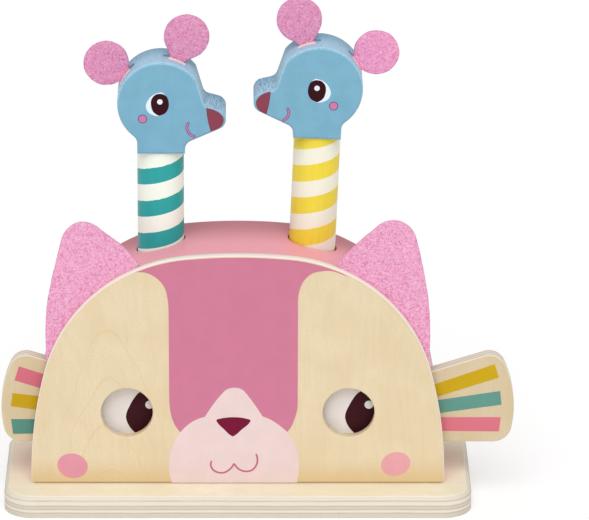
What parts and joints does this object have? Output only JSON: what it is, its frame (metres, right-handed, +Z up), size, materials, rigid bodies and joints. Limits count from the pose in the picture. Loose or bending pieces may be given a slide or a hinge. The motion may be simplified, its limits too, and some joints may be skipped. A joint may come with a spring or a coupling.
{
  "type": "pop up animal toy",
  "caption": "Wooden pop-up toy: an arched cat-faced box on a board, with sprung striped pegs that carry mouse heads and a sliding plate that moves the cat's eyes and side paddles.",
  "frame": {"origin": "centre of the board's underside", "axes": "+Z up; the cat's face looks along -Y; +X runs along the board to the right as the face is looked at"},
  "size_m": [0.2744, 0.1, 0.2724],
  "materials": {
    "birch_ply": "clear matt lacquer, printed in places",
    "pink_paint": "satin pink paint on wood",
    "blue_paint": "satin blue paint on wood",
    "striped_paint": "satin paint with spiral stripes on wood",
    "pink_felt": "pressed felt",
    "beech": "turned, untreated",
    "spring_steel": "drawn spring wire",
    "screw_steel": "zinc plated"
  },
  "bodies": {
    "root": {"arch_cover": "pink_paint", "back_panel": "birch_ply", "base_board": "birch_ply", "base_screws": "screw_steel", "cat_ear_left": "pink_felt", "cat_ear_right": "pink_felt", "divider_panel": "birch_ply", "front_panel": "birch_ply", "front_strip_lower": "birch_ply", "front_strip_upper": "birch_ply", "glue_block_left": "birch_ply", "glue_block_right": "birch_ply", "peg_guide_shelf": "birch_ply", "slider_rail_lower": "birch_ply", "slider_rail_upper": "birch_ply", "slider_stop_pin": "beech", "spring_left": "spring_steel", "spring_post_left": "beech", "spring_post_right": "beech", "spring_right": "spring_steel"},
    "left_mouse": {"collar_screw_left": "screw_steel", "foot_collar_left": "beech", "mouse_brow_ear_left": "pink_felt", "mouse_head_left": "blue_paint", "mouse_rear_ear_left": "pink_felt", "neck_dowel_left": "beech", "peg_left": "striped_paint"},
    "right_mouse": {"collar_screw_right": "screw_steel", "foot_collar_right": "beech", "mouse_brow_ear_right": "pink_felt", "mouse_head_right": "blue_paint", "mouse_rear_ear_right": "pink_felt", "neck_dowel_right": "beech", "peg_right": "striped_paint"},
    "eyes": {"eye_slider": "birch_ply"}
  },
  "joints": [
    {"name": "eye_slide", "type": "slide", "parent": "root", "child": "eyes", "axis": [1, 0, 0], "range_m": [-0.0212, 0]},
    {"name": "left_mouse_press", "type": "slide", "parent": "root", "child": "left_mouse", "axis": [0, 0, 1], "range_m": [-0.04, 0], "stiffness_N_per_m": 100, "springref_m": 0.02, "deforming": ["spring_left"]},
    {"name": "right_mouse_press", "type": "slide", "parent": "root", "child": "right_mouse", "axis": [0.0401, 0, 0.9992], "range_m": [-0.04, 0], "stiffness_N_per_m": 100, "springref_m": 0.02, "deforming": ["spring_right"]}
  ]
}
